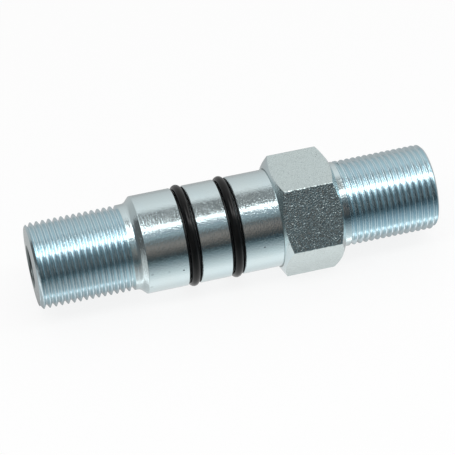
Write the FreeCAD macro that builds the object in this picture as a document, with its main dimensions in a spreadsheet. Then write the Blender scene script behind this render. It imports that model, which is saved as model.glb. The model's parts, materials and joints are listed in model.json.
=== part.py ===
import FreeCAD, Part
import Sketcher
import os

# Male threaded fitting: one piece turned from hexagon bar, and two sealing rings.
# X runs along the axis, from the front thread to the rear thread. The origin is on
# the axis, in the hexagon face that seats against the housing. One flat points down.

# Driving sizes in millimetres, angles in degrees
SIZES = {
    "thread_diameter": 28.0,
    "thread_chamfer": 1.0,
    "front_stem_length": 33.2,
    "rear_stem_length": 33.1,
    "end_face_slope": 4.0,
    "pilot_diameter": 32.0,
    "pilot_length": 44.6,
    "shoulder_angle": 45.0,
    "shoulder_fillet": 2.0,
    "across_flats": 35.0,
    "hexagon_length": 20.3,
    "hexagon_face_diameter": 33.0,
    "front_corner_angle": 29.0,
    "rear_corner_angle": 32.0,
    "ring_section": 3.0,
    "ring_seat_clearance": 0.05,
    "groove_depth": 2.35,
    "groove_width": 4.0,
    "groove_edge_break": 0.3,
    "rear_groove_place": 14.9,
    "groove_spacing": 14.25,
    "bore_diameter": 13.0,
    "bore_mouth_chamfer": 0.5,
}
# How far a cutting profile stands outside the metal that it removes
CUTTER_MARGIN = 1.0
# Volume in cubic millimetres under which a cut counts as missed
SMALLEST_CUT = 0.1
# Distance within which an edge lies where it is looked for
SAME_PLACE = 0.001
HEXAGON_SIDES = 6
FULL_CIRCLE = 360

document = FreeCAD.newDocument("threaded_fitting")
sheet = document.addObject("Spreadsheet::Sheet", "sizes")
for row, (alias, value) in enumerate(SIZES.items(), start=1):
    sheet.set(f"A{row}", alias.replace("_", " "))
    sheet.set(f"B{row}", str(value))
    sheet.setAlias(f"B{row}", alias)
document.recompute()

# Derived sizes, as expressions of the sheet's cells
THREAD_RADIUS = "(sizes.thread_diameter / 2)"
PILOT_RADIUS = "(sizes.pilot_diameter / 2)"
BORE_RADIUS = "(sizes.bore_diameter / 2)"
HEXAGON_FACE_RADIUS = "(sizes.hexagon_face_diameter / 2)"
HALF_SIDE_ANGLE = f"{FULL_CIRCLE / HEXAGON_SIDES / 2} deg"
CORNER_RADIUS = f"(sizes.across_flats / 2 / cos({HALF_SIDE_ANGLE}))"
SHOULDER_LENGTH = f"(({PILOT_RADIUS} - {THREAD_RADIUS}) / tan(sizes.shoulder_angle * 1 deg))"
# The fillet never reaches past its cone
SHOULDER_FILLET = f"min(sizes.shoulder_fillet; {SHOULDER_LENGTH})"
MOUTH_RADIUS = f"({BORE_RADIUS} + sizes.bore_mouth_chamfer)"
END_FACE_RADIUS = f"({THREAD_RADIUS} - sizes.thread_chamfer)"
END_FACE_DROP = f"(({END_FACE_RADIUS} - {MOUTH_RADIUS}) * tan(sizes.end_face_slope * 1 deg))"
SHOULDER_BASE = f"(sizes.pilot_length + {SHOULDER_LENGTH})"
FRONT_END = f"({SHOULDER_BASE} + sizes.front_stem_length)"
REAR_END = "(sizes.hexagon_length + sizes.rear_stem_length)"
GROOVE_FLOOR_RADIUS = f"({PILOT_RADIUS} - sizes.groove_depth)"
RING_RADIUS = f"({GROOVE_FLOOR_RADIUS} + sizes.ring_seat_clearance + sizes.ring_section / 2)"


def origin_feature(body, role):
    """Return the body's own origin plane or axis of that role."""
    return next(item for item in body.Origin.OriginFeatures if item.Role == role)


def new_sketch(body, name, plane_role):
    """Add an empty sketch on one of the body's origin planes."""
    sketch = body.newObject("Sketcher::SketchObject", name)
    sketch.AttachmentSupport = [(origin_feature(body, plane_role), "")]
    sketch.MapMode = "FlatFace"
    return sketch


def evaluate(expression):
    """Return an expression's value in plain millimetres."""
    value = sheet.evalExpression(expression)
    return float(getattr(value, "Value", value))


def fix_coordinate(sketch, edge, axis_name, expression):
    """Tie one coordinate of an edge's first point to an expression, or to the axis."""
    other_axis = {"DistanceX": -2, "DistanceY": -1}[axis_name]
    first_point = 1
    if expression == "0":
        sketch.addConstraint(
            Sketcher.Constraint("PointOnObject", edge, first_point, other_axis))
        return
    number = sketch.addConstraint(
        Sketcher.Constraint(axis_name, edge, first_point, evaluate(expression)))
    sketch.setExpression(f"Constraints[{number}]", expression)


def half_section(body, name, corners):
    """Draw a closed half section beside the X axis.

    Args:
        body: the body that owns the sketch.
        name: the sketch's name.
        corners: pairs of expressions, each a place along the axis and a radius.

    Returns:
        The sketch, with every corner tied to its two expressions.
    """
    sketch = new_sketch(body, name, "XZ_Plane")
    points = [FreeCAD.Vector(evaluate(x), evaluate(radius), 0) for x, radius in corners]
    count = len(points)
    for index, point in enumerate(points):
        sketch.addGeometry(Part.LineSegment(point, points[(index + 1) % count]))
    for index in range(count):
        sketch.addConstraint(
            Sketcher.Constraint("Coincident", index, 2, (index + 1) % count, 1))
    for index, (x, radius) in enumerate(corners):
        fix_coordinate(sketch, index, "DistanceX", x)
        fix_coordinate(sketch, index, "DistanceY", radius)
    return sketch


def spin(body, kind, name, sketch):
    """Turn a half section once round the X axis, as metal or as a cut."""
    feature = body.newObject(f"PartDesign::{kind}", name)
    feature.Profile = sketch
    feature.ReferenceAxis = (sketch, ["H_Axis"])
    feature.Angle = FULL_CIRCLE
    document.recompute()
    return feature


def check_cut(body, name, before):
    """Stop if a cut left the body's volume as it was before, and return the new volume."""
    after = body.Shape.Volume
    if after > before - SMALLEST_CUT:
        raise RuntimeError(f"{name} cuts nothing")
    return after


def rim_name(feature, place, radius):
    """Return the name of a feature's round edge with that place and radius."""
    for number, edge in enumerate(feature.Shape.Edges, start=1):
        curve = edge.Curve
        if not isinstance(curve, Part.Circle):
            continue
        in_place = abs(curve.Center.x - place) < SAME_PLACE
        if in_place and abs(curve.Radius - radius) < SAME_PLACE:
            return f"Edge{number}"
    raise RuntimeError(f"{feature.Name} has no rim at {place}")


def add_turned_blank(body):
    """Turn both stems, the shoulder and the pilot, then round the shoulder's root."""
    face_start = f"(-{FRONT_END} + {END_FACE_DROP})"
    face_end = f"({REAR_END} - {END_FACE_DROP})"
    corners = [
        (f"-{FRONT_END}", "0"),
        (f"-{FRONT_END}", MOUTH_RADIUS),
        (face_start, END_FACE_RADIUS),
        (f"{face_start} + sizes.thread_chamfer", THREAD_RADIUS),
        (f"-{SHOULDER_BASE}", THREAD_RADIUS),
        ("-sizes.pilot_length", PILOT_RADIUS),
        ("sizes.hexagon_length", PILOT_RADIUS),
        ("sizes.hexagon_length", THREAD_RADIUS),
        (f"{face_end} - sizes.thread_chamfer", THREAD_RADIUS),
        (face_end, END_FACE_RADIUS),
        (REAR_END, MOUTH_RADIUS),
        (REAR_END, "0"),
    ]
    blank = spin(body, "Revolution", "turned_blank",
                 half_section(body, "blank_section", corners))
    fillet = body.newObject("PartDesign::Fillet", "shoulder_root")
    fillet.Base = (blank, [rim_name(blank, -evaluate(SHOULDER_BASE), evaluate(THREAD_RADIUS))])
    fillet.setExpression("Radius", SHOULDER_FILLET)
    document.recompute()


def add_hexagon(body):
    """Pad the hexagon, with one flat facing down."""
    sketch = new_sketch(body, "hexagon_outline", "YZ_Plane")
    radius = evaluate(CORNER_RADIUS)
    corner = FreeCAD.Vector(radius, 0, 0)
    turn = FreeCAD.Rotation(FreeCAD.Vector(0, 0, 1), FULL_CIRCLE / HEXAGON_SIDES)
    while sketch.GeometryCount < HEXAGON_SIDES:
        following = turn.multVec(corner)
        sketch.addGeometry(Part.LineSegment(corner, following))
        corner = following
    circle = sketch.addGeometry(
        Part.Circle(FreeCAD.Vector(0, 0, 0), FreeCAD.Vector(0, 0, 1), radius), True)
    sketch.addConstraint(Sketcher.Constraint("Coincident", circle, 3, -1, 1))
    number = sketch.addConstraint(Sketcher.Constraint("Radius", circle, radius))
    sketch.setExpression(f"Constraints[{number}]", CORNER_RADIUS)
    for side in range(HEXAGON_SIDES):
        following = (side + 1) % HEXAGON_SIDES
        sketch.addConstraint(Sketcher.Constraint("Coincident", side, 2, following, 1))
        sketch.addConstraint(Sketcher.Constraint("PointOnObject", side, 1, circle))
    for side in range(1, HEXAGON_SIDES):
        sketch.addConstraint(Sketcher.Constraint("Equal", 0, side))
    sketch.addConstraint(Sketcher.Constraint("PointOnObject", 0, 1, -1))
    pad = body.newObject("PartDesign::Pad", "hexagon")
    pad.Profile = sketch
    pad.setExpression("Length", "sizes.hexagon_length")
    document.recompute()


def cut_hexagon_corners(body, name, face_place, inward, angle):
    """Turn the hexagon's corners down to a cone from one of its faces.

    Args:
        body: the body that is cut.
        name: the cut's name.
        face_place: the face's place along the axis, as an expression.
        inward: "+" or "-", the way from that face into the hexagon.
        angle: the cone's angle from the face, as an expression.
    """
    outer = f"({CORNER_RADIUS} + {CUTTER_MARGIN})"
    depth = f"(({outer} - {HEXAGON_FACE_RADIUS}) * tan({angle} * 1 deg))"
    corners = [
        (face_place, HEXAGON_FACE_RADIUS),
        (f"{face_place} {inward} {depth}", outer),
        (face_place, outer),
    ]
    before = body.Shape.Volume
    spin(body, "Groove", name, half_section(body, f"{name}_section", corners))
    check_cut(body, name, before)


def cut_ring_grooves(body):
    """Cut the rear sealing groove and repeat it for the front ring."""
    half_width = "sizes.groove_width / 2"
    middle = "-sizes.rear_groove_place"
    rim = f"({PILOT_RADIUS} + {CUTTER_MARGIN})"
    lip = "sizes.groove_edge_break"
    corners = [
        (f"{middle} - {half_width}", GROOVE_FLOOR_RADIUS),
        (f"{middle} + {half_width}", GROOVE_FLOOR_RADIUS),
        (f"{middle} + {half_width}", f"{PILOT_RADIUS} - {lip}"),
        (f"{middle} + {half_width} + {lip}", PILOT_RADIUS),
        (f"{middle} + {half_width} + {lip}", rim),
        (f"{middle} - {half_width} - {lip}", rim),
        (f"{middle} - {half_width} - {lip}", PILOT_RADIUS),
        (f"{middle} - {half_width}", f"{PILOT_RADIUS} - {lip}"),
    ]
    before = body.Shape.Volume
    groove = spin(body, "Groove", "rear_groove",
                  half_section(body, "groove_section", corners))
    before = check_cut(body, "rear_groove", before)
    pattern = body.newObject("PartDesign::LinearPattern", "both_grooves")
    pattern.Originals = [groove]
    pattern.Direction = (origin_feature(body, "X_Axis"), [""])
    pattern.Reversed = True
    pattern.Occurrences = 2
    pattern.setExpression("Length", "sizes.groove_spacing")
    body.Tip = pattern
    document.recompute()
    check_cut(body, "both_grooves", before)


def cut_bore(body):
    """Bore the fitting through, with a chamfer at each mouth."""
    corners = [
        (f"-{FRONT_END}", "0"),
        (REAR_END, "0"),
        (REAR_END, MOUTH_RADIUS),
        (f"{REAR_END} - sizes.bore_mouth_chamfer", BORE_RADIUS),
        (f"-{FRONT_END} + sizes.bore_mouth_chamfer", BORE_RADIUS),
        (f"-{FRONT_END}", MOUTH_RADIUS),
    ]
    before = body.Shape.Volume
    spin(body, "Groove", "through_bore", half_section(body, "bore_section", corners))
    check_cut(body, "through_bore", before)


def build_fitting_body():
    """Build the turned hexagon-bar body."""
    body = document.addObject("PartDesign::Body", "fitting_body")
    body.Label = "fitting_body"
    add_turned_blank(body)
    add_hexagon(body)
    cut_hexagon_corners(body, "front_corners", "0", "+", "sizes.front_corner_angle")
    cut_hexagon_corners(body, "rear_corners", "sizes.hexagon_length", "-",
                        "sizes.rear_corner_angle")
    cut_ring_grooves(body)
    cut_bore(body)
    return body


def build_ring(name, place):
    """Build one sealing ring, seated on its groove's floor.

    Args:
        name: the ring's name.
        place: the groove's middle along the axis, as an expression.

    Returns:
        The ring's body.
    """
    body = document.addObject("PartDesign::Body", name)
    body.Label = name
    sketch = new_sketch(body, f"{name}_section", "XZ_Plane")
    radius = evaluate("sizes.ring_section / 2")
    middle = FreeCAD.Vector(0, evaluate(RING_RADIUS), 0)
    circle = sketch.addGeometry(Part.Circle(middle, FreeCAD.Vector(0, 0, 1), radius))
    number = sketch.addConstraint(Sketcher.Constraint("Radius", circle, radius))
    sketch.setExpression(f"Constraints[{number}]", "sizes.ring_section / 2")
    sketch.addConstraint(Sketcher.Constraint("PointOnObject", circle, 3, -2))
    number = sketch.addConstraint(
        Sketcher.Constraint("DistanceY", circle, 3, evaluate(RING_RADIUS)))
    sketch.setExpression(f"Constraints[{number}]", RING_RADIUS)
    spin(body, "Revolution", f"{name}_cord", sketch)
    body.setExpression("Placement.Base.x", f"({place}) * 1 mm")
    return body


def save(bodies):
    """Check every object, then write each sub-part's shape to its own file."""
    document.recompute()
    for item in document.Objects:
        if "Invalid" in item.State or "Error" in item.State:
            raise RuntimeError(f"{item.Name} is {item.State}")
    for body in bodies:
        if body.Shape.isNull() or not body.Shape.isValid():
            raise RuntimeError(f"{body.Label} has no valid shape")
    os.makedirs("parts", exist_ok=True)
    for body in bodies:
        body.Shape.exportStep(f"parts/{body.Label}.step")
        print(body.Label, round(body.Shape.Volume, 1), body.Shape.BoundBox)


save([
    build_fitting_body(),
    build_ring("front_o_ring", "-sizes.rear_groove_place - sizes.groove_spacing"),
    build_ring("rear_o_ring", "-sizes.rear_groove_place"),
])
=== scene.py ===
"""Looks of a male threaded fitting with two sealing rings.

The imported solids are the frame. The plated body and both rings are modelled again
at the frame's sizes, with cut threads, eased edges and procedural finishes, on a
plain pale floor and seen from the photograph's side.
"""

import json
import logging
import math
from collections.abc import Callable, Sequence
from dataclasses import dataclass, field
from enum import Enum

import bmesh
import bpy
from mathutils import Matrix, Vector


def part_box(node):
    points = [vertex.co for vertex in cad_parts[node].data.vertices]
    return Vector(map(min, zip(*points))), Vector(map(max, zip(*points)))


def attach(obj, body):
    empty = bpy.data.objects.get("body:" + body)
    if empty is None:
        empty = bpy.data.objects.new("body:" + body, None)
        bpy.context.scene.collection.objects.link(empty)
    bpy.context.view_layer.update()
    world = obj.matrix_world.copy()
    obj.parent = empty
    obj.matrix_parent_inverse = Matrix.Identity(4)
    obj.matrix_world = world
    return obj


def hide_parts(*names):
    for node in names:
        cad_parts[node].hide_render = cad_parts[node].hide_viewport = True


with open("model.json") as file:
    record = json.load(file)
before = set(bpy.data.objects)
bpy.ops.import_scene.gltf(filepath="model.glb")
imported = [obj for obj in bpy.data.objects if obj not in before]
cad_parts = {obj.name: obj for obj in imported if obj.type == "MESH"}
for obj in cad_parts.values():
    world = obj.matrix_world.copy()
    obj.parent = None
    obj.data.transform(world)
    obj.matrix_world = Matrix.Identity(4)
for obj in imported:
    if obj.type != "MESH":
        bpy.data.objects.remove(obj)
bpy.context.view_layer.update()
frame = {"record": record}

MM = 0.001
FULL_TURN = 2 * math.pi
HEXAGON_SIDES = 6
# Turn that lays a primitive's own axis along the fitting's
ALONG_AXIS = (0, math.pi / 2, 0)
# Places closer together than this are the same place when parts of a mesh are chosen
SAME_PLACE = 0.002 * MM
# Vertices closer together than this are merged
MERGE_DISTANCE = SAME_PLACE / 10
# Value that the noise textures lie around
NOISE_MEAN = 0.5
LOG = logging.getLogger("threaded_fitting")

Colour = tuple[float, float, float]
# Light at each angle or height, as one number for a grey or three for a colour
Levels = tuple[tuple[float, float | Colour], ...]
# Where light fades from the front's to the middle's, and from that to the rear's
Sections = tuple[tuple[float, float], tuple[float, float]]


class Zone(Enum):
    """Surfaces of the plated body that were made in different ways. The colours of the bore, the
    ring grooves and, slightly, the threads are darkened as painted shade.
    """

    TURNED = 0
    THREAD = 1
    HEXAGON_FLAT = 2
    BORE = 3
    RING_GROOVE = 4


class Combination(Enum):
    """Ways to combine a piece with a tool solid."""

    JOIN = "UNION"
    CUT = "DIFFERENCE"
    KEEP_COMMON = "INTERSECT"


# Sizes

def mount_radius(name: str) -> float:
    """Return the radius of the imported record's mount of that name."""
    mount = next(item for item in frame["record"]["mounts"] if item["name"] == name)
    return mount["dims"]["r_mm"] * MM


@dataclass(frozen=True)
class RingPlace:
    """One sealing ring's place and size.

    Args:
        node: the ring's CAD node.
        place: the ring's middle along the axis.
        cord_radius: half the cord's thickness.
        centre_radius: the radius of the line in the cord's middle.
    """

    node: str
    place: float
    cord_radius: float
    centre_radius: float

    @classmethod
    def from_node(cls, node: str) -> "RingPlace":
        """Read a ring's place from its CAD node's box.

        Args:
            node: the ring's CAD node.

        Returns:
            The ring's place and size.
        """
        low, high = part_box(node)
        cord_radius = (high.x - low.x) / 2
        return cls(node, (low.x + high.x) / 2, cord_radius, high.y - cord_radius)


@dataclass(frozen=True)
class FittingSizes:
    """Sizes of the plated body, in metres, from the frame and from the real part."""

    front_end: float
    rear_end: float
    half_flats: float
    thread_radius: float
    pilot_radius: float
    bore_radius: float
    rings: tuple[RingPlace, RingPlace]
    pilot_length: float = 44.6 * MM
    shoulder_length: float = 2.0 * MM
    shoulder_fillet: float = 2.0 * MM
    hexagon_length: float = 20.3 * MM
    hexagon_face_radius: float = 16.5 * MM
    front_corner_angle: float = math.radians(29)
    rear_corner_angle: float = math.radians(32)
    thread_chamfer: float = 1.0 * MM
    end_face_slope: float = math.radians(4)
    bore_mouth_chamfer: float = 0.5 * MM
    groove_depth: float = 2.35 * MM
    groove_width: float = 4.0 * MM
    groove_edge_break: float = 0.3 * MM
    front_neck: float = 2.75 * MM
    rear_neck: float = 2.7 * MM

    @classmethod
    def from_frame(cls) -> "FittingSizes":
        """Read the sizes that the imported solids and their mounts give.

        Returns:
            The sizes, with the others as on the real part.
        """
        low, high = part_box("fitting_body")
        return cls(
            front_end=low.x,
            rear_end=high.x,
            half_flats=high.z,
            thread_radius=mount_radius("front_thread"),
            pilot_radius=mount_radius("pilot"),
            bore_radius=mount_radius("flow_bore"),
            rings=(RingPlace.from_node("front_o_ring"), RingPlace.from_node("rear_o_ring")),
        )

    @property
    def corner_radius(self) -> float:
        """Distance from the axis to the hexagon's corners."""
        return self.half_flats / math.cos(math.pi / HEXAGON_SIDES)

    @property
    def shoulder_base(self) -> float:
        """Place where the front stem meets the shoulder."""
        return -self.pilot_length - self.shoulder_length

    @property
    def front_thread_stop(self) -> float:
        """Place where the front thread has run out."""
        return self.shoulder_base - self.front_neck

    @property
    def rear_thread_start(self) -> float:
        """Place where the rear thread has its full neck behind it."""
        return self.hexagon_length + self.rear_neck


# Modelling helpers

def select_nothing() -> None:
    """Deselect every object, CAD nodes included."""
    bpy.ops.object.select_all(action="DESELECT")


def keep_as(name: str) -> bpy.types.Object:
    """Name the primitive that was just added, and its mesh.

    Args:
        name: the new name.

    Returns:
        The primitive.
    """
    piece = bpy.context.object
    piece.name = name
    piece.data.name = name
    return piece


def work_on(piece: bpy.types.Object) -> None:
    """Make one piece the only selected and active one.

    Args:
        piece: the piece that is worked on next.
    """
    select_nothing()
    piece.select_set(True)
    bpy.context.view_layer.objects.active = piece


def edit(piece: bpy.types.Object) -> None:
    """Open a piece in edit mode with nothing selected in it.

    Args:
        piece: the piece that is shaped next.
    """
    work_on(piece)
    bpy.ops.object.mode_set(mode="EDIT")
    bpy.ops.mesh.select_all(action="DESELECT")


def leave_edit() -> None:
    """Go back to object mode."""
    bpy.ops.object.mode_set(mode="OBJECT")


def choose_all() -> None:
    """Select everything in the piece in edit mode."""
    bpy.ops.mesh.select_all(action="SELECT")


def choose_vertices(piece: bpy.types.Object, wanted: Callable[[Vector], bool]) -> None:
    """Select the vertices at wanted places of a piece in edit mode.

    Args:
        piece: the piece that is open in edit mode.
        wanted: says of a vertex's place whether it is chosen.
    """
    bpy.ops.mesh.select_mode(type="VERT")
    bpy.ops.mesh.select_all(action="DESELECT")
    mesh = bmesh.from_edit_mesh(piece.data)
    for vertex in mesh.verts:
        vertex.select_set(wanted(vertex.co))
    mesh.select_flush_mode()
    bmesh.update_edit_mesh(piece.data)


def choose_edges(piece: bpy.types.Object, wanted: Callable[[Vector, Vector], bool]) -> None:
    """Select the wanted edges of a piece in edit mode.

    Args:
        piece: the piece that is open in edit mode.
        wanted: says of an edge's two ends whether it is chosen.
    """
    bpy.ops.mesh.select_mode(type="EDGE")
    bpy.ops.mesh.select_all(action="DESELECT")
    mesh = bmesh.from_edit_mesh(piece.data)
    for edge in mesh.edges:
        edge.select_set(wanted(edge.verts[0].co, edge.verts[1].co))
    mesh.select_flush_mode()
    bmesh.update_edit_mesh(piece.data)


def face_outwards() -> None:
    """Turn every face of the piece in edit mode outwards."""
    choose_all()
    bpy.ops.mesh.normals_make_consistent(inside=False)


def settle(piece: bpy.types.Object) -> None:
    """Move a piece's place, turn and scale into its mesh."""
    work_on(piece)
    bpy.ops.object.transform_apply(location=True, rotation=True, scale=True)


def apply_modifier(piece: bpy.types.Object, kind: str, **settings: object) -> None:
    """Add a modifier with its settings and apply it.

    Args:
        piece: the piece that gets the modifier.
        kind: the modifier's type.
        settings: values of the modifier's properties.
    """
    work_on(piece)
    modifier = piece.modifiers.new(kind.lower(), kind)
    for key, value in settings.items():
        setattr(modifier, key, value)
    bpy.ops.object.modifier_apply(modifier=modifier.name)


def combine(piece: bpy.types.Object, tool: bpy.types.Object, way: Combination) -> None:
    """Combine a piece with a closed tool solid, and remove the tool.

    Args:
        piece: the piece that stays.
        tool: the solid that it is combined with.
        way: whether the tool is joined, cut out or sets what is kept.
    """
    apply_modifier(piece, "BOOLEAN", operation=way.value, object=tool, solver="MANIFOLD")
    bpy.data.objects.remove(tool)


@dataclass(frozen=True)
class Station:
    """One rim of a turned solid: its place along the axis and its radius."""

    place: float
    radius: float

    def holds(self, point: Vector) -> bool:
        """Say whether a point lies on this rim."""
        off_axis = math.hypot(point.y, point.z)
        return abs(point.x - self.place) < SAME_PLACE and abs(off_axis - self.radius) < SAME_PLACE


def turn_solid(name: str, stations: Sequence[Station], segments: int) -> bpy.types.Object:
    """Model a closed solid of revolution about X, rim by rim.

    Args:
        name: the new piece's name.
        stations: the solid's rims, from one end face to the other.
        segments: how many flats go round the axis.

    Returns:
        The new piece, with its origin on the frame's origin.
    """
    select_nothing()
    first = stations[0]
    bpy.ops.mesh.primitive_circle_add(
        vertices=segments, radius=first.radius, fill_type="NGON",
        location=(first.place, 0, 0), rotation=ALONG_AXIS)
    piece = keep_as(name)
    bpy.ops.object.mode_set(mode="EDIT")
    bpy.ops.mesh.select_mode(type="FACE")
    for here, there in zip(stations, stations[1:]):
        step = (there.place - here.place, 0, 0)
        bpy.ops.mesh.extrude_region_move(TRANSFORM_OT_translate={"value": step})
        growth = there.radius / here.radius
        bpy.ops.transform.resize(value=(1, growth, growth), center_override=(there.place, 0, 0))
    face_outwards()
    leave_edit()
    settle(piece)
    return piece


def ease_rims(piece: bpy.types.Object, rims: Sequence[Station], width: float,
              segments: int = 3) -> None:
    """Round the sharp rims of a turned solid.

    Args:
        piece: the turned solid.
        rims: the rims that are rounded.
        width: how far the rounding reaches from the rim.
        segments: how many flats the rounding has.
    """
    edit(piece)
    choose_edges(piece, lambda a, b: any(rim.holds(a) and rim.holds(b) for rim in rims))
    bpy.ops.mesh.bevel(offset=width, segments=segments, affect="EDGES")
    leave_edit()


# Threads

@dataclass(frozen=True)
class ThreadForm:
    """Metric thread form, as cut into a stem.

    Args:
        radius: the stem's radius, which is the thread's crest.
        pitch: the distance from crest to crest.
        flank_angle: half the angle between two flanks.
        depth_share: the groove's depth, as a share of the pitch.
        opening_share: its width at the crest, as a share of the pitch.
        crest_margin: how far the cutter reaches out past the crest.
        crest_easing: how deep the crest's edges are eased.
        crest_gap: how far apart the cutter's turns stay there.
    """

    radius: float
    pitch: float = 2.0 * MM
    flank_angle: float = math.pi / 6
    depth_share: float = 0.6134
    opening_share: float = 7 / 8
    steps_per_turn: int = 160
    crest_margin: float = 0.03 * MM
    crest_easing: float = 0.07 * MM
    crest_gap: float = 0.03 * MM
    root_rounding: float = 0.13 * MM

    @property
    def depth(self) -> float:
        """Depth of the groove below the crest."""
        return self.depth_share * self.pitch

    @property
    def root_width(self) -> float:
        """Width of the groove's floor between straight flanks."""
        return self.pitch * self.opening_share - 2 * self.depth * math.tan(self.flank_angle)


@dataclass
class ThreadGroove:
    """A helical cutter of the thread's groove.

    Args:
        name: the cutter's name.
        form: the thread's form.
        start: the groove's first middle place along the axis.
        stop: the groove's last middle place along the axis.
        run_out_first: whether the groove fades at its start or at its stop.
        run_out_turns: how many turns it takes to fade.
        run_out_curve: power of the fading: 1 is even, and more fades later.
    """

    name: str
    form: ThreadForm
    start: float
    stop: float
    run_out_first: bool
    run_out_turns: float = 0.35
    run_out_curve: float = 1.5

    @property
    def turns(self) -> int:
        """Whole turns that the groove needs, counted up."""
        return math.ceil((self.stop - self.start) / self.form.pitch)

    def section(self) -> bpy.types.Object:
        """Model the groove's section as a closed outline above the axis.

        Returns:
            The outline, which has edges and no face.
        """
        form = self.form
        top = form.radius + form.crest_margin
        bottom = form.radius - form.depth
        straight_width = form.root_width + 2 * (top - bottom) * math.tan(form.flank_angle)
        select_nothing()
        bpy.ops.mesh.primitive_plane_add(size=1, location=(0, 0, 0))
        outline = keep_as(self.name)
        bpy.ops.object.mode_set(mode="EDIT")
        bpy.ops.transform.resize(value=(straight_width, top - bottom, 1))
        bpy.ops.transform.translate(value=(self.start, (top + bottom) / 2, 0))
        choose_vertices(outline, lambda place: abs(place.y - bottom) < SAME_PLACE)
        bpy.ops.transform.resize(value=(form.root_width / straight_width, 1, 1),
                                 center_override=(self.start, bottom, 0))
        bpy.ops.mesh.bevel(offset=form.root_rounding, segments=3, affect="VERTICES")
        choose_all()
        bpy.ops.mesh.bisect(plane_co=(0, form.radius - form.crest_easing, 0), plane_no=(0, 1, 0))
        choose_vertices(outline, lambda place: abs(place.y - top) < SAME_PLACE)
        eased_width = form.pitch - form.crest_gap
        bpy.ops.transform.resize(value=(eased_width / straight_width, 1, 1),
                                 center_override=(self.start, top, 0))
        choose_all()
        bpy.ops.mesh.dissolve_faces()
        choose_all()
        bpy.ops.mesh.delete(type="ONLY_FACE")
        leave_edit()
        settle(outline)
        return outline

    def fade(self, coil: bpy.types.Object) -> None:
        """Lift the groove's last stretch out of the stem.

        Args:
            coil: the cutter, whose vertices lie in equal groups along its turns.
        """
        form = self.form
        groups = self.turns * form.steps_per_turn + 1
        size = len(coil.data.vertices) // groups
        fading = self.run_out_turns * form.steps_per_turn
        lifted = (form.radius + form.crest_margin) / (form.radius - form.depth)
        for vertex in coil.data.vertices:
            group = vertex.index // size
            remaining = group if self.run_out_first else groups - 1 - group
            share = max(0.0, 1 - remaining / fading)
            growth = 1 + (lifted - 1) * share ** self.run_out_curve
            vertex.co.y *= growth
            vertex.co.z *= growth

    def build(self) -> bpy.types.Object:
        """Wind the section into a closed cutter.

        Returns:
            The cutter, with its run-out.
        """
        form = self.form
        coil = self.section()
        apply_modifier(coil, "SCREW", axis="X", angle=FULL_TURN, screw_offset=form.pitch,
                       iterations=self.turns, steps=form.steps_per_turn,
                       render_steps=form.steps_per_turn, use_merge_vertices=False)
        self.fade(coil)
        edit(coil)
        choose_all()
        bpy.ops.mesh.fill_holes(sides=0)
        face_outwards()
        leave_edit()
        return coil


# Sub-assemblies

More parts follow.
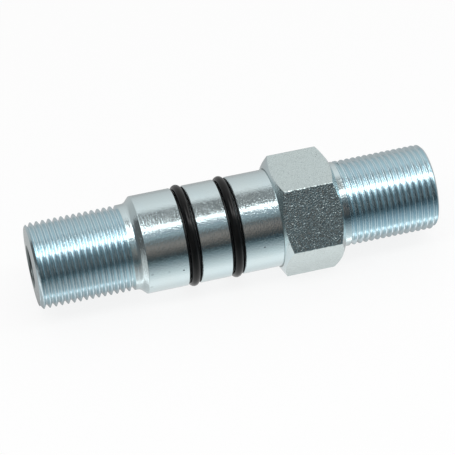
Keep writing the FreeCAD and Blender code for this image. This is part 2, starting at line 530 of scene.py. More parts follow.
@dataclass
class PlatedBody:
    """The one-piece steel body: both stems, shoulder, pilot and hexagon."""

    sizes: FittingSizes
    segments: int = 256
    edge_break: float = 0.15 * MM
    corner_break: float = 0.22 * MM
    cutter_margin: float = 1.0 * MM
    # How many turns a thread starts outside its end face
    thread_lead: float = 1.35
    # How much of a face's direction lies along the axis: more on an end face, less on a flat
    end_face_limit: float = 0.95
    flat_limit: float = 0.1
    smooth_angle: float = math.radians(36)
    name: str = "plated_body"

    def blank_stations(self) -> list[Station]:
        """List the rims of the turned blank.

        Returns:
            The rims, from the front end to the rear end.
        """
        sizes = self.sizes
        chamfer = sizes.thread_chamfer
        face_radius = sizes.thread_radius - chamfer
        mouth_radius = sizes.bore_radius + sizes.bore_mouth_chamfer
        drop = (face_radius - mouth_radius) * math.tan(sizes.end_face_slope)
        middle = sizes.hexagon_length / 2
        stations = [
            Station(sizes.front_end, mouth_radius),
            Station(sizes.front_end + drop, face_radius),
            Station(sizes.front_end + drop + chamfer, sizes.thread_radius),
            Station(sizes.shoulder_base, sizes.thread_radius),
            Station(-sizes.pilot_length, sizes.pilot_radius),
        ]
        for ring in sizes.rings:
            stations += self.groove_stations(ring.place)
        # The step from the pilot to the rear stem is hidden inside the hexagon
        return stations + [
            Station(middle, sizes.pilot_radius),
            Station(middle + self.cutter_margin, sizes.thread_radius),
            Station(sizes.rear_end - drop - chamfer, sizes.thread_radius),
            Station(sizes.rear_end - drop, face_radius),
            Station(sizes.rear_end, mouth_radius),
        ]

    def groove_stations(self, place: float) -> list[Station]:
        """List the rims of one ring groove.

        Args:
            place: the groove's middle along the axis.

        Returns:
            The groove's rims, from front to rear.
        """
        sizes = self.sizes
        half = sizes.groove_width / 2
        lip = sizes.groove_edge_break
        floor = sizes.pilot_radius - sizes.groove_depth
        near = [
            Station(place - half - lip, sizes.pilot_radius),
            Station(place - half, sizes.pilot_radius - lip),
            Station(place - half, floor),
        ]
        far = [Station(2 * place - rim.place, rim.radius) for rim in reversed(near)]
        return near + far

    def model_blank(self) -> bpy.types.Object:
        """Turn the blank and ease the rims of its shoulder and chamfers.

        Returns:
            The blank, which has no hexagon, bore or thread yet.
        """
        stations = self.blank_stations()
        blank = turn_solid(self.name, stations, self.segments)
        face_rim, stem_rim, shoulder_foot, shoulder_top = stations[1:5]
        eased = [face_rim, stem_rim, shoulder_top, *stations[-3:-1]]
        ease_rims(blank, eased, self.edge_break)
        # The shoulder turns by 45 degrees, and its fillet reaches by half of that turn
        fillet_reach = self.sizes.shoulder_fillet * math.tan(math.pi / 8)
        ease_rims(blank, [shoulder_foot], fillet_reach, segments=6)
        return blank

    def model_hexagon(self) -> bpy.types.Object:
        """Model the hexagon with eased edges and its corners turned down to cones.

        Returns:
            The hexagon, at its place along the axis.
        """
        sizes = self.sizes
        select_nothing()
        bpy.ops.mesh.primitive_cylinder_add(
            vertices=HEXAGON_SIDES, radius=sizes.corner_radius,
            depth=sizes.hexagon_length + 2 * self.cutter_margin,
            location=(sizes.hexagon_length / 2, 0, 0), rotation=ALONG_AXIS)
        hexagon = keep_as("hexagon")
        settle(hexagon)
        edit(hexagon)
        choose_edges(hexagon, lambda a, b: abs(a.x - b.x) > sizes.hexagon_length)
        bpy.ops.mesh.bevel(offset=self.corner_break, segments=3, affect="EDGES")
        leave_edit()
        combine(hexagon, self.model_corner_envelope(), Combination.KEEP_COMMON)
        return hexagon

    def model_corner_envelope(self) -> bpy.types.Object:
        """Turn the solid whose two cones cut the hexagon's corners.

        Returns:
            The solid, inside which the hexagon stays.
        """
        sizes = self.sizes
        outer = sizes.corner_radius + self.cutter_margin
        reach = outer - sizes.hexagon_face_radius
        stations = [
            Station(0, sizes.hexagon_face_radius),
            Station(reach * math.tan(sizes.front_corner_angle), outer),
            Station(sizes.hexagon_length - reach * math.tan(sizes.rear_corner_angle), outer),
            Station(sizes.hexagon_length, sizes.hexagon_face_radius),
        ]
        envelope = turn_solid("corner_envelope", stations, self.segments)
        ease_rims(envelope, [stations[0], stations[-1]], self.edge_break / 2)
        return envelope

    def model_bore(self) -> bpy.types.Object:
        """Turn the solid that is bored out, with its two mouth chamfers.

        Returns:
            The solid, which reaches past both end faces.
        """
        sizes = self.sizes
        chamfer = sizes.bore_mouth_chamfer
        flare = sizes.bore_radius + chamfer + self.cutter_margin
        near = [
            Station(sizes.front_end - self.cutter_margin, flare),
            Station(sizes.front_end + chamfer, sizes.bore_radius),
        ]
        far = [
            Station(sizes.rear_end - chamfer, sizes.bore_radius),
            Station(sizes.rear_end + self.cutter_margin, flare),
        ]
        return turn_solid("bore", near + far, self.segments)

    def thread_grooves(self) -> list[ThreadGroove]:
        """List the cutters of both threads.

        Returns:
            The front thread's cutter and the rear thread's.
        """
        sizes = self.sizes
        form = ThreadForm(sizes.thread_radius)
        lead = self.thread_lead * form.pitch
        return [
            ThreadGroove("front_thread_groove", form, sizes.front_end - lead,
                         sizes.front_thread_stop, run_out_first=False),
            ThreadGroove("rear_thread_groove", form, sizes.rear_thread_start,
                         sizes.rear_end + lead, run_out_first=True),
        ]

    def zone_of(self, centre: Vector, normal: Vector) -> Zone:
        """Say how the surface at a face was made.

        Args:
            centre: the face's middle.
            normal: the face's outward direction.

        Returns:
            The face's zone.
        """
        sizes = self.sizes
        off_axis = math.hypot(centre.y, centre.z)
        if off_axis < sizes.bore_radius + sizes.bore_mouth_chamfer + SAME_PLACE:
            return Zone.BORE
        on_stem = centre.x < sizes.front_thread_stop or centre.x > sizes.rear_thread_start
        if on_stem and abs(normal.x) < self.end_face_limit:
            return Zone.THREAD
        beside_ring = any(abs(centre.x - ring.place) < sizes.groove_width / 2 + SAME_PLACE
                          for ring in sizes.rings)
        if beside_ring and off_axis < sizes.pilot_radius - sizes.groove_edge_break / 2:
            return Zone.RING_GROOVE
        on_hexagon = 0 < centre.x < sizes.hexagon_length and off_axis > sizes.pilot_radius
        if on_hexagon and abs(normal.x) < self.flat_limit:
            return Zone.HEXAGON_FLAT
        return Zone.TURNED

    def build(self, finishes: dict[Zone, bpy.types.Material]) -> bpy.types.Object:
        """Model and dress the body.

        Args:
            finishes: the material of each zone.

        Returns:
            The finished piece, which stands for its CAD node.
        """
        body = self.model_blank()
        combine(body, self.model_hexagon(), Combination.JOIN)
        combine(body, self.model_bore(), Combination.CUT)
        for groove in self.thread_grooves():
            combine(body, groove.build(), Combination.CUT)
        edit(body)
        choose_all()
        bpy.ops.mesh.remove_doubles(threshold=MERGE_DISTANCE)
        bpy.ops.mesh.dissolve_degenerate(threshold=MERGE_DISTANCE)
        leave_edit()
        work_on(body)
        bpy.ops.object.shade_smooth_by_angle(angle=self.smooth_angle)
        apply_modifier(body, "WEIGHTED_NORMAL", mode="FACE_AREA", keep_sharp=True)
        body.data.materials.clear()
        for zone in Zone:
            body.data.materials.append(finishes[zone])
        for face in body.data.polygons:
            face.material_index = self.zone_of(face.center, face.normal).value
        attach(body, "root")
        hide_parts("fitting_body")
        return body


@dataclass
class SealingRing:
    """One round rubber ring, seated on its groove's floor."""

    ring: RingPlace
    turns_round: int = 224
    turns_across: int = 48
    # Height of the mould's seam round the outside
    seam_height: float = 0.02 * MM
    name: str = field(init=False)

    def __post_init__(self) -> None:
        """Name the piece after its node."""
        self.name = f"{self.ring.node}_rubber"

    def build(self, finish: bpy.types.Material) -> bpy.types.Object:
        """Model and dress the ring.

        Args:
            finish: the rubber's material.

        Returns:
            The finished piece, which stands for its CAD node.
        """
        ring = self.ring
        select_nothing()
        bpy.ops.mesh.primitive_torus_add(
            major_segments=self.turns_round, minor_segments=self.turns_across,
            major_radius=ring.centre_radius, minor_radius=ring.cord_radius - self.seam_height,
            location=(ring.place, 0, 0), rotation=ALONG_AXIS)
        rubber = keep_as(self.name)
        settle(rubber)
        edit(rubber)
        outermost = ring.centre_radius + ring.cord_radius - self.seam_height
        choose_vertices(rubber, lambda p: abs(math.hypot(p.y, p.z) - outermost) < SAME_PLACE)
        growth = (outermost + self.seam_height) / outermost
        bpy.ops.transform.resize(value=(1, growth, growth), center_override=(ring.place, 0, 0))
        face_outwards()
        leave_edit()
        work_on(rubber)
        bpy.ops.object.shade_smooth()
        rubber.data.materials.append(finish)
        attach(rubber, "root")
        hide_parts(ring.node)
        return rubber


# Shader expressions

class Graph:
    """The nodes of one material or world."""

    def __init__(self, tree: bpy.types.NodeTree) -> None:
        """Start with an empty tree."""
        self.tree = tree
        tree.nodes.clear()

    def node(self, kind: str, settings: dict[str, object] | None = None,
             values: dict[str | int, object] | None = None) -> bpy.types.Node:
        """Add a node.

        Args:
            kind: the node's type.
            settings: properties that are set first; "stops" fills a colour ramp.
            values: values or wires of the node's input sockets.

        Returns:
            The new node.
        """
        made = self.tree.nodes.new(kind)
        for key, value in (settings or {}).items():
            if key == "stops":
                self.fill_ramp(made, value)
            else:
                setattr(made, key, value)
        for key, value in (values or {}).items():
            if isinstance(value, Wire):
                self.tree.links.new(value.socket, made.inputs[key])
            else:
                made.inputs[key].default_value = value
        return made

    @staticmethod
    def fill_ramp(ramp: bpy.types.Node, stops: Sequence[tuple[float, Colour]]) -> None:
        """Give a colour ramp its stops.

        Args:
            ramp: the ramp's node.
            stops: pairs of a position and a colour.
        """
        elements = ramp.color_ramp.elements
        while len(elements) < len(stops):
            elements.new(1.0)
        for element, (position, colour) in zip(elements, stops):
            element.position = position
            element.color = (*colour, 1)

    def wire(self, node: bpy.types.Node, output: str | int = 0) -> "Wire":
        """Return a node's output as a wire."""
        return Wire(self, node.outputs[output])

    def math(self, operation: str, *values: "float | Wire") -> "Wire":
        """Add a Math node and return its result."""
        inputs = dict(enumerate(values))
        return self.wire(self.node("ShaderNodeMath", {"operation": operation}, inputs))

    def mix(self, share: "Wire", first: object, second: object) -> "Wire":
        """Blend two colours.

        Args:
            share: how much of the second colour shows, from 0 to 1.
            first: the colour at 0.
            second: the colour at 1.

        Returns:
            The blend.
        """
        # Inputs 6 and 7 are the colours, and output 2 is their blend
        values = {"Factor": share, 6: first, 7: second}
        made = self.node("ShaderNodeMix", {"data_type": "RGBA"}, values)
        return self.wire(made, 2)

    def fade(self, value: "Wire", start: float, stop: float) -> "Wire":
        """Return 0 up to the start and 1 past the stop."""
        values = {"Value": value, "From Min": start, "From Max": stop}
        return self.wire(self.node("ShaderNodeMapRange", {}, values))

    def ramp(self, share: "Wire", stops: Sequence[tuple[float, Colour]]) -> "Wire":
        """Return the colour that a ramp with these stops has at a share."""
        return self.wire(self.node("ShaderNodeValToRGB", {"stops": stops}, {"Fac": share}))

    def coordinates(self) -> "Wire":
        """Return the piece's Object coordinates."""
        return self.wire(self.node("ShaderNodeTexCoord"), "Object")

    def dress(self, shader: bpy.types.Node) -> None:
        """Put a shader on the material's surface."""
        self.node("ShaderNodeOutputMaterial", {}, {"Surface": self.wire(shader)})

    def dress_with_relief(self, height: "Wire", values: dict[str, object]) -> None:
        """Put a surface with a fine relief on the material.

        Args:
            height: the relief's height.
            values: values or wires of the surface's other inputs.
        """
        bump = self.node("ShaderNodeBump", {}, {"Height": height, "Distance": 1.0})
        values = {**values, "Normal": self.wire(bump)}
        self.dress(self.node("ShaderNodeBsdfPrincipled", {}, values))

    def noise(self, place: "Wire", scale: Sequence[float], detail: float = 2.0) -> "Wire":
        """Return noise that is stretched by three scales.

        Args:
            place: the coordinates.
            scale: waves per metre along X, Y and Z.
            detail: how many finer layers are added.

        Returns:
            The noise, from 0 to 1.
        """
        stretched = self.node("ShaderNodeMapping", {}, {"Vector": place, "Scale": scale})
        values = {"Vector": self.wire(stretched), "Scale": 1.0, "Detail": detail}
        return self.wire(self.node("ShaderNodeTexNoise", {}, values))


@dataclass(frozen=True)
class Wire:
    """A node's output whose operators add Math nodes."""

    graph: Graph
    socket: bpy.types.NodeSocket

    def __add__(self, other: "float | Wire") -> "Wire":
        """Add."""
        return self.graph.math("ADD", self, other)

    def __radd__(self, other: float) -> "Wire":
        """Add to a number."""
        return self.graph.math("ADD", other, self)

    def __sub__(self, other: "float | Wire") -> "Wire":
        """Subtract."""
        return self.graph.math("SUBTRACT", self, other)

    def __rsub__(self, other: float) -> "Wire":
        """Subtract from a number."""
        return self.graph.math("SUBTRACT", other, self)

    def __mul__(self, other: "float | Wire") -> "Wire":
        """Multiply."""
        return self.graph.math("MULTIPLY", self, other)

    def __rmul__(self, other: float) -> "Wire":
        """Multiply a number."""
        return self.graph.math("MULTIPLY", other, self)

    def __truediv__(self, other: "float | Wire") -> "Wire":
        """Divide."""
        return self.graph.math("DIVIDE", self, other)


def new_material(name: str) -> tuple[bpy.types.Material, Graph]:
    """Make a material that has no nodes yet.

    Args:
        name: its name.

    Returns:
        The material and its graph.
    """
    material = bpy.data.materials.new(name)
    material.use_nodes = True
    return material, Graph(material.node_tree)


# Finishes

@dataclass(frozen=True)
class Speck:
    """A small dark pit in the plate.

    Args:
        place: its place along the axis, in metres.
        clock: its angle round the axis from straight up, towards the viewer, in degrees.
        off_axis: its distance from the axis.
        size: its radius.
        strength: how dark it is, from 0 to 1.
    """

    place: float
    clock: float
    off_axis: float
    size: float = 0.35 * MM
    strength: float = 1.0

    @property
    def point(self) -> Vector:
        """The speck's place in the frame."""
        angle = math.radians(self.clock)
        return Vector((self.place, -self.off_axis * math.sin(angle),
                       self.off_axis * math.cos(angle)))


@dataclass(frozen=True)
class ZincFinish:
    """Bright zinc plate over steel.

    Args:
        name: the material's name.
        roughness: the plate's mean roughness.
        mark_height: height of the turning marks that run round the axis.
        mark_width: distance from mark to mark along the axis.
        mark_stretch: how many times longer than wide a mark is.
        grain_height: height of the plate's grain.
        grain_size: size of a grain.
        grain_rise: values of the noise between which a grain rises.
        pebble_height: height of the rims between the small pits of a blasted surface.
        pebble_size: size of such a pit.
        stain_waves: waves per metre of the faint stains.
        mark_roughness: how much roughness varies with the marks.
        stain_roughness: how much it varies with the stains.
        pit_roughness: how much rougher a dark pit is.
        specks: dark pits in this surface.
    """

    name: str
    roughness: float
    mark_height: float = 0.0
    mark_width: float = 0.5 * MM
    mark_stretch: float = 2.0
    grain_height: float = 0.0
    grain_size: float = 0.65 * MM
    grain_rise: tuple[float, float] = (0.5, 0.66)
    pebble_height: float = 0.0
    pebble_size: float = 0.5 * MM
    stain_waves: float = 90.0
    mark_roughness: float = 0.05
    stain_roughness: float = 0.06
    pit_roughness: float = 0.4
    specks: tuple[Speck, ...] = ()
    colour: Colour = (0.66, 0.80, 0.84)
    warm_colour: Colour = (0.70, 0.79, 0.79)
    pit_colour: Colour = (0.06, 0.07, 0.08)

    def build(self) -> bpy.types.Material:
        """Make the plate's material.

        Returns:
            The material of one zone.
        """
        material, graph = new_material(self.name)
        place = graph.coordinates()
        marks = self.turning_marks(graph, place)
        grain = self.plate_grain(graph, place)
        stain = graph.noise(place, [self.stain_waves] * 3, detail=3)
        tint = graph.mix(stain, (*self.colour, 1), (*self.warm_colour, 1))
        roughness = (self.roughness + (marks - NOISE_MEAN) * self.mark_roughness
                     + (stain - NOISE_MEAN) * self.stain_roughness)
        for speck in self.specks:
            pit = self.pit(graph, place, speck) * speck.strength
            tint = graph.mix(pit, tint, (*self.pit_colour, 1))
            roughness = roughness + pit * self.pit_roughness
        height = marks * self.mark_height + grain * self.grain_height
        if self.pebble_height:
            height = height + self.pebbles(graph, place) * self.pebble_height
        graph.dress_with_relief(height, {"Base Color": tint, "Metallic": 1.0,
                                         "Roughness": roughness})
        return material

    def turning_marks(self, graph: Graph, place: Wire) -> Wire:
        """Make fine marks that run round the axis.

        Args:
            graph: the material's nodes.
            place: the piece's coordinates.

        Returns:
            The marks, from 0 to 1.
        """
        along = 1 / self.mark_width
        around = along / self.mark_stretch
        return graph.noise(place, (along, around, around), detail=3)

    def plate_grain(self, graph: Graph, place: Wire) -> Wire:
        """Return the plate's grain: low ground at 0 and separate grains at 1."""
        fine = 1 / self.grain_size
        return graph.fade(graph.noise(place, [fine] * 3, detail=3), *self.grain_rise)

    def pebbles(self, graph: Graph, place: Wire) -> Wire:
        """Return a blasted surface's small pits: 0 in a pit's middle, most at its rim."""
        values = {"Vector": place, "Scale": 1 / self.pebble_size}
        return graph.wire(graph.node("ShaderNodeTexVoronoi", {}, values), "Distance")

    def pit(self, graph: Graph, place: Wire, speck: Speck) -> Wire:
        """Find a speck on the surface.

        Args:
            graph: the material's nodes.
            place: the piece's coordinates.
            speck: the dark pit.

        Returns:
            1 inside the speck and 0 away from it.
        """
        values = {0: place, 1: speck.point}
        measured = graph.node("ShaderNodeVectorMath", {"operation": "DISTANCE"}, values)
        return graph.fade(graph.wire(measured, "Value"), speck.size, speck.size / 2)


@dataclass(frozen=True)
class RubberFinish:
    """Satin black nitrile rubber, with a fine skin and a faint dusty bloom.

    Args:
        bloom_waves: waves per metre of the bloom.
        skin_waves: waves per metre of the skin.
    """

    name: str = "seal_rubber"
    colour: Colour = (0.0025, 0.003, 0.003)
    dusty_colour: Colour = (0.006, 0.006, 0.006)
    roughness: float = 0.18
    specular_level: float = 0.2
    bloom_waves: float = 260.0
    bloom_height: float = 0.03 * MM
    bloom_roughness: float = 0.16
    skin_waves: float = 4200.0
    skin_height: float = 0.012 * MM
    skin_roughness: float = 0.08

    def build(self) -> bpy.types.Material:
        """Make the rubber's material.

        Returns:
            The material of both rings.
        """
        material, graph = new_material(self.name)
        place = graph.coordinates()
        bloom = graph.noise(place, [self.bloom_waves] * 3, detail=4)
        skin = graph.noise(place, [self.skin_waves] * 3)
        colour = graph.mix(bloom, (*self.colour, 1), (*self.dusty_colour, 1))
        roughness = (self.roughness + (bloom - NOISE_MEAN) * self.bloom_roughness
                     + (skin - NOISE_MEAN) * self.skin_roughness)
        height = skin * self.skin_height + bloom * self.bloom_height
        graph.dress_with_relief(height, {"Base Color": colour, "Roughness": roughness,
                                         "Specular IOR Level": self.specular_level})
        return material


def make_finishes(sizes: FittingSizes) -> dict[Zone, bpy.types.Material]:
    """Make the plate's material for each zone.

    Args:
        sizes: the body's sizes, for the places of the specks.

    Returns:
        The material of each zone.
    """
    pilot = sizes.pilot_radius
    pits = (Speck(-33.3 * MM, 92.9, pilot), Speck(-6.5 * MM, 84.1, pilot, 0.3 * MM),
            Speck(-43.5 * MM, 90.0, pilot, 0.6 * MM, 0.16),
            Speck(-38.0 * MM, 91.0, pilot, 0.5 * MM, 0.14),
            Speck(-44.0 * MM, 112.0, pilot, 0.8 * MM, 0.14))
    finishes = {
        Zone.TURNED: ZincFinish(
            "turned_zinc", roughness=0.12, mark_height=0.04 * MM, mark_width=0.44 * MM,
            grain_height=0.012 * MM, grain_size=0.5 * MM, specks=pits),
        # The threads' plate is a little darker than the turned plate, as painted shade for their
        # deep grooves, and a little bluer
        Zone.THREAD: ZincFinish(
            "thread_zinc_with_painted_shade", roughness=0.18, mark_height=0.035 * MM, grain_height=0.004 * MM,
            specks=(Speck(-65.7 * MM, 87.2, sizes.thread_radius),),
            colour=(0.63, 0.77, 0.83), warm_colour=(0.64, 0.77, 0.81)),
        Zone.HEXAGON_FLAT: ZincFinish(
            "hexagon_zinc", roughness=0.2, grain_height=0.025 * MM, pebble_height=0.13 * MM,
            colour=(0.64, 0.745, 0.75), warm_colour=(0.65, 0.73, 0.72)),
        # The bore's plate is painted much darker than the outside: painted shade inside the hole
        Zone.BORE: ZincFinish(
            "bore_painted_shade_zinc", roughness=0.34, mark_height=0.01 * MM, grain_height=0.004 * MM,
            colour=(0.30, 0.37, 0.39), warm_colour=(0.36, 0.38, 0.36)),
        # The grooves' walls and floor are painted far darker than the plate: painted shade in the
        # recess beside each ring
        Zone.RING_GROOVE: ZincFinish(
            "groove_painted_shade_zinc", roughness=0.5, mark_height=0.02 * MM, grain_height=0.01 * MM,
            colour=(0.14, 0.15, 0.16), warm_colour=(0.18, 0.18, 0.17)),
    }
    return {zone: finish.build() for zone, finish in finishes.items()}


# Studio

def set_up(name: str, data: bpy.types.ID, directions: Sequence[Vector],
           place: Vector) -> bpy.types.Object:
    """Set a camera or a lamp up in the scene.

    Args:
        name: its name.
        data: the camera's or the lamp's own data.
        directions: which way its right, its top and its back point.
        place: where it stands.

    Returns:
        The new object.
    """
    device = bpy.data.objects.new(name, data)
    bpy.context.scene.collection.objects.link(device)
    turn = Matrix(directions).transposed()
    device.matrix_world = Matrix.Translation(place) @ turn.to_4x4()
    return device


@dataclass(frozen=True)
class PhotoCamera:
    """The photograph's viewpoint.

    Args:
        target_place: the point of the axis in the picture's middle.
        drop: how far below the axis the picture's middle lies.
        elevation: the camera's height above the horizon, in degrees.
        swing: how far it stands towards the front end, in degrees.
        roll: how far it is turned about its own line of sight, in degrees.
        distance: its distance from the target.
        lens: its focal length, in millimetres.
        sensor_width: its sensor's width, in millimetres.
        nearest: the least distance that it sees.
        furthest: the greatest distance that it sees.
    """

    target_place: float = -14.73 * MM
    drop: float = 0.29 * MM
    elevation: float = 39.5
    swing: float = 9.75
    roll: float = 11.6
    distance: float = 716.9 * MM
    lens: float = 175.17
    sensor_width: float = 36.0
    nearest: float = 0.01
    furthest: float = 50.0

    def build(self) -> bpy.types.Object:
        """Make the scene's camera.

        Returns:
            The camera.
        """
        height = math.radians(self.elevation)
        swing = math.radians(self.swing)
        roll = math.radians(self.roll)
        facing = Vector((0, -math.cos(height), math.sin(height)))
        axis = Vector((1, 0, 0))
        to_camera = -math.sin(swing) * axis + math.cos(swing) * facing
        level_right = math.cos(swing) * axis + math.sin(swing) * facing
        level_up = Vector((0, math.sin(height), math.cos(height)))
        right = math.cos(roll) * level_right - math.sin(roll) * level_up
        up = math.sin(roll) * level_right + math.cos(roll) * level_up
        place = self.target_place * axis - self.drop * up + self.distance * to_camera
        data = bpy.data.cameras.new("photo_camera")
        data.lens = self.lens
        data.sensor_width = self.sensor_width
        data.clip_start = self.nearest
        data.clip_end = self.furthest
        camera = set_up("photo_camera", data, (right, up, to_camera), place)
        bpy.context.scene.camera = camera
        return camera


@dataclass(frozen=True)
class Studio:
    """Pale floor, soft strip lamp and the reflection tent round the object.

    The tent's levels are its light at each angle round the axis, in degrees: 0 is level
    towards the viewer, 90 straight up and 180 level behind the object. The end walls'
    levels go by the height above the axis.
    """

    floor_height: float
    floor_size: float = 8.0
    floor_level: float = 0.95
    # How much of the object's shadow the floor keeps
    shadow_share: float = 0.16
    # The world's light on the object, where the background has 1
    fill_level: float = 0.72
    tent_radius: float = 0.45
    tent_length: float = 1.4
    tent_sides: int = 96
    # How far the sheet under the object lies above the floor
    apron_lift: float = 0.2 * MM
    lamp_elevation: float = 68.0
    # How far inside the tent the lamp hangs
    lamp_gap: float = 0.02
    lamp_width: float = 0.12
    lamp_length: float = 1.1
    lamp_power: float = 1.0
    # The strongest light that the tent can show
    glow_peak: float = 7.0
    middle_levels: Levels = (
        (-180, 0.5), (-111, 0.42), (-90, 0.64), (-52, 0.84), (-43, 1.0), (-37, 1.0),
        (-28, (0.70, 0.74, 0.75)), (-16, (0.33, 0.37, 0.39)), (-11, (0.20, 0.25, 0.27)),
        (-6, (0.10, 0.13, 0.14)), (-1, (0.035, 0.045, 0.05)), (4, 0.07),
        (12, (0.14, 0.12, 0.11)), (26, (0.29, 0.245, 0.225)), (37, 0.14),
        (48, (0.33, 0.40, 0.43)), (60, (0.28, 0.35, 0.40)), (66, 0.5), (68, 3.6),
        (70.4, 3.6), (72, 0.6), (77, 0.22), (90, 0.24), (106, 0.22), (115, 0.72),
        (123, 0.88), (134, 0.80), (158, 0.69), (180, 0.58))
    # In front of the shoulder, where the bright strip reaches further back
    front_levels: Levels = (
        (-180, 0.55), (-112, 0.42), (-90, 0.36), (-66, 0.50), (-52, 0.66), (-46, 1.4),
        (-40, 0.66), (-28, 0.50), (-16, 0.26), (-9, (0.13, 0.17, 0.18)),
        (-1, (0.06, 0.08, 0.09)), (12, 0.14), (26, (0.20, 0.21, 0.21)),
        (40, (0.25, 0.30, 0.32)), (50, (0.38, 0.46, 0.50)), (60, 1.0), (66, 4.5),
        (74, 4.5), (82, 3.6), (90, 2.8), (98, 1.7), (105, 0.80), (120, 0.80),
        (134, 0.74), (158, 0.66), (180, 0.55))
    # Beyond the rear thread, where the front is darker and bluer
    rear_levels: Levels = (
        (-180, 0.55), (-112, 0.42), (-90, 0.38), (-66, 0.56), (-54, 0.70), (-48, 2.0),
        (-43, (0.80, 0.86, 0.88)), (-28, (0.47, 0.54, 0.58)), (-16, (0.22, 0.28, 0.31)),
        (-11, (0.13, 0.18, 0.21)), (-6, (0.06, 0.09, 0.11)), (-1, (0.03, 0.045, 0.055)),
        (12, (0.035, 0.05, 0.06)), (26, (0.02, 0.035, 0.05)), (34, (0.025, 0.045, 0.06)),
        (40, (0.03, 0.05, 0.06)), (48, (0.12, 0.16, 0.19)), (56, 0.40), (61, 1.0),
        (66, 5.5), (70.5, 5.5), (74, 1.1), (80, 0.7), (90, 0.60), (107, 0.62),
        (120, 0.86), (134, 0.82), (158, 0.70), (180, 0.55))
    # At the far rear, which the thread's flanks show
    far_levels: Levels = (
        (-180, 0.5), (-12, 0.45), (0, (0.42, 0.52, 0.56)), (40, (0.50, 0.62, 0.68)),
        (50, 2.0), (60, 4.5), (75, 6.5), (105, 7.0), (115, 5.0), (130, 1.9), (180, 0.9))
    # At the far front, which the hexagon's front cone shows
    far_front_levels: Levels = (
        (-180, 0.5), (-30, 0.5), (-10, 0.14), (95, (0.10, 0.12, 0.14)), (112, 0.45),
        (180, 0.5))
    front_end_levels: Levels = ((-0.02, 0.3), (0.0, 0.1), (0.38, 0.13), (0.45, 0.3))
    rear_end_levels: Levels = ((-0.02, 0.6), (0.03, 0.2), (0.2, 0.3), (0.45, 0.45))
    # Where the light changes along the tent and along the sheet under the object
    tent_sections: Sections = ((-0.036, -0.014), (0.085, 0.16))
    apron_sections: Sections = ((-0.051, -0.043), (0.0225, 0.0255))
    # Where the far front's light ends and where the far rear's begins
    far_front_fade: tuple[float, float] = (-0.3, -0.17)
    far_fade: tuple[float, float] = (0.36, 0.44)
    # How much weaker the far rear's light gets towards the end wall, and where
    far_loss: float = 0.8
    far_loss_fade: tuple[float, float] = (0.5, 0.57)

    def build(self) -> None:
        """Build everything that isn't the object."""
        self.build_world()
        self.build_floor()
        self.build_tent()
        self.build_lamp()

    @staticmethod
    def seen_directly(graph: Graph) -> Wire:
        """Tell the rays that show the background from the others.

        Args:
            graph: the nodes of the floor or the world.

        Returns:
            1 for camera, glossy and transmission rays, and 0 for the others.
        """
        path = graph.node("ShaderNodeLightPath")
        seen = graph.wire(path, "Is Camera Ray") + graph.wire(path, "Is Glossy Ray")
        seen = seen + graph.wire(path, "Is Transmission Ray")
        return graph.math("MINIMUM", seen, 1.0)

    def build_world(self) -> None:
        """Light the scene evenly, with a white background."""
        world = bpy.data.worlds.new("studio")
        world.use_nodes = True
        bpy.context.scene.world = world
        graph = Graph(world.node_tree)
        seen = self.seen_directly(graph)
        level = self.fill_level + seen * (1 - self.fill_level)
        background = graph.node("ShaderNodeBackground", {}, {"Color": (1, 1, 1, 1),
                                                             "Strength": level})
        graph.node("ShaderNodeOutputWorld", {}, {"Surface": graph.wire(background)})

    def build_floor(self) -> None:
        """Lay a white floor that keeps the object's shadow."""
        select_nothing()
        bpy.ops.mesh.primitive_plane_add(size=self.floor_size,
                                         location=(0, 0, self.floor_height))
        floor = keep_as("floor")
        settle(floor)
        material, graph = new_material("pale_floor")
        level = self.floor_level
        paper = graph.node("ShaderNodeBsdfDiffuse", {}, {"Color": (level, level, level, 1)})
        glow = graph.node("ShaderNodeEmission", {}, {"Color": (1, 1, 1, 1), "Strength": 1.0})
        share = self.seen_directly(graph) * (1 - self.shadow_share)
        both = graph.node("ShaderNodeMixShader", {}, {
            "Fac": share, 1: graph.wire(paper), 2: graph.wire(glow)})
        graph.dress(both)
        floor.data.materials.append(material)

    def glow_stops(self, levels: Levels) -> list[tuple[float, Colour]]:
        """Turn levels into the stops of a ramp from their first value to their last.

        Args:
            levels: pairs of a value and the light shown there.

        Returns:
            Pairs of a position and a colour that the glow's peak multiplies.
        """
        low, high = levels[0][0], levels[-1][0]
        stops = []
        for value, light in levels:
            colour = light if isinstance(light, tuple) else (light, light, light)
            stops.append(((value - low) / (high - low),
                          tuple(part / self.glow_peak for part in colour)))
        return stops

    def glow_material(self, name: str, light: Callable[[Graph, bpy.types.Node, tuple], Wire],
                      values: Levels | Sections) -> bpy.types.Material:
        """Make a sheet's glow.

        Args:
            name: the material's name.
            light: works the glow's colour out from the sheet's coordinates and the values.
            values: the levels or the sections of the glow.

        Returns:
            The material.
        """
        material, graph = new_material(name)
        parts = graph.node("ShaderNodeSeparateXYZ", {}, {0: graph.coordinates()})
        glow = graph.node("ShaderNodeEmission", {}, {"Color": light(graph, parts, values),
                                                     "Strength": self.glow_peak})
        graph.dress(glow)
        return material

    def round_light(self, graph: Graph, parts: bpy.types.Node, sections: Sections) -> Wire:
        """Work out a sheet's light by the angle round the axis and the place along it.

        Args:
            graph: the sheet's nodes.
            parts: the node that separates its coordinates.
            sections: where the light changes from front to middle and to rear.

        Returns:
            The light's colour.
        """
        front_change, rear_change = sections
        angle = graph.math("ARCTAN2", graph.wire(parts, "Z"), graph.wire(parts, "Y") * -1.0)
        share = (angle + math.pi) / FULL_TURN
        far_front, front, middle, rear, far = (
            graph.ramp(share, self.glow_stops(levels))
            for levels in (self.far_front_levels, self.front_levels, self.middle_levels,
                           self.rear_levels, self.far_levels))
        along = graph.wire(parts, "X")
        light = graph.mix(graph.fade(along, *self.far_front_fade), far_front, front)
        light = graph.mix(graph.fade(along, *front_change), light, middle)
        light = graph.mix(graph.fade(along, *rear_change), light, rear)
        loss = graph.fade(along, *self.far_loss_fade) * self.far_loss
        far = graph.mix(loss, far, (0, 0, 0, 1))
        return graph.mix(graph.fade(along, *self.far_fade), light, far)

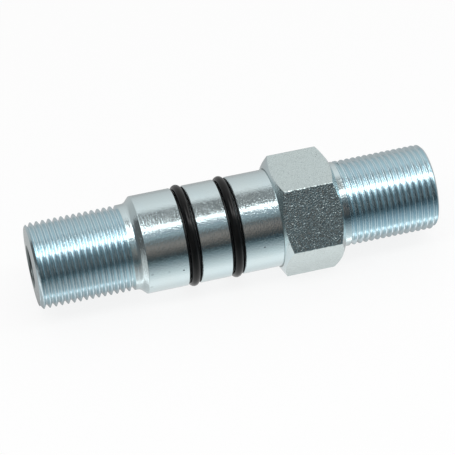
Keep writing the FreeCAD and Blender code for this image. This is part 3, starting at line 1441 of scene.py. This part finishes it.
    def end_light(self, graph: Graph, parts: bpy.types.Node, levels: Levels) -> Wire:
        """Work out an end wall's light by the height.

        Args:
            graph: the wall's nodes.
            parts: the node that separates its coordinates.
            levels: the wall's light at each height.

        Returns:
            The light's colour.
        """
        share = graph.fade(graph.wire(parts, "Z"), levels[0][0], levels[-1][0])
        return graph.ramp(share, self.glow_stops(levels))

    def build_tent(self) -> None:
        """Stand the tent and its apron on the floor, which only reflections show."""
        tent_glow = self.glow_material("tent_glow", self.round_light, self.tent_sections)
        apron_glow = self.glow_material("apron_glow", self.round_light, self.apron_sections)
        ends = (self.glow_material("front_end_glow", self.end_light, self.front_end_levels),
                self.glow_material("rear_end_glow", self.end_light, self.rear_end_levels))
        select_nothing()
        bpy.ops.mesh.primitive_cylinder_add(
            vertices=self.tent_sides, radius=self.tent_radius, depth=self.tent_length,
            rotation=ALONG_AXIS)
        tent = keep_as("tent")
        select_nothing()
        bpy.ops.mesh.primitive_plane_add(
            size=1, location=(0, 0, self.floor_height + self.apron_lift))
        apron = keep_as("apron")
        apron.scale = (self.tent_length, 2 * self.tent_radius, 1)
        for sheet, glow in ((tent, tent_glow), (apron, apron_glow)):
            settle(sheet)
            for finish in (glow, *ends):
                sheet.data.materials.append(finish)
            for face in sheet.data.polygons:
                is_end_wall = abs(face.normal.x) > math.hypot(face.normal.y, face.normal.z)
                if is_end_wall:
                    face.material_index = 1 if face.center.x < 0 else 2
            sheet.visible_camera = False
            sheet.visible_diffuse = False
            sheet.visible_shadow = False
            sheet.visible_transmission = False

    def build_lamp(self) -> None:
        """Hang the long strip lamp above and in front."""
        data = bpy.data.lights.new("strip_lamp", "AREA")
        data.shape = "RECTANGLE"
        data.size = self.lamp_length
        data.size_y = self.lamp_width
        data.energy = self.lamp_power
        angle = math.radians(self.lamp_elevation)
        away = Vector((0, -math.cos(angle), math.sin(angle)))
        across = Vector((1, 0, 0))
        lamp = set_up("strip_lamp", data, (across, away.cross(across), away),
                      away * (self.tent_radius - self.lamp_gap))
        lamp.visible_camera = False
        lamp.visible_glossy = False


def report_piece(piece: bpy.types.Object) -> None:
    """Log a finished piece's size in triangles."""
    triangles = sum(len(face.vertices) - 2 for face in piece.data.polygons)
    LOG.info("%s: %d triangles", piece.name, triangles)


def main() -> None:
    """Build the object, then the camera and the studio."""
    logging.basicConfig(level=logging.INFO, format="%(name)s %(message)s")
    sizes = FittingSizes.from_frame()
    report_piece(PlatedBody(sizes).build(make_finishes(sizes)))
    rubber = RubberFinish().build()
    for ring in sizes.rings:
        report_piece(SealingRing(ring).build(rubber))
    PhotoCamera().build()
    Studio(floor_height=-sizes.half_flats).build()
    bpy.context.scene.view_settings.view_transform = "Standard"


if __name__ == "__main__":
    main()
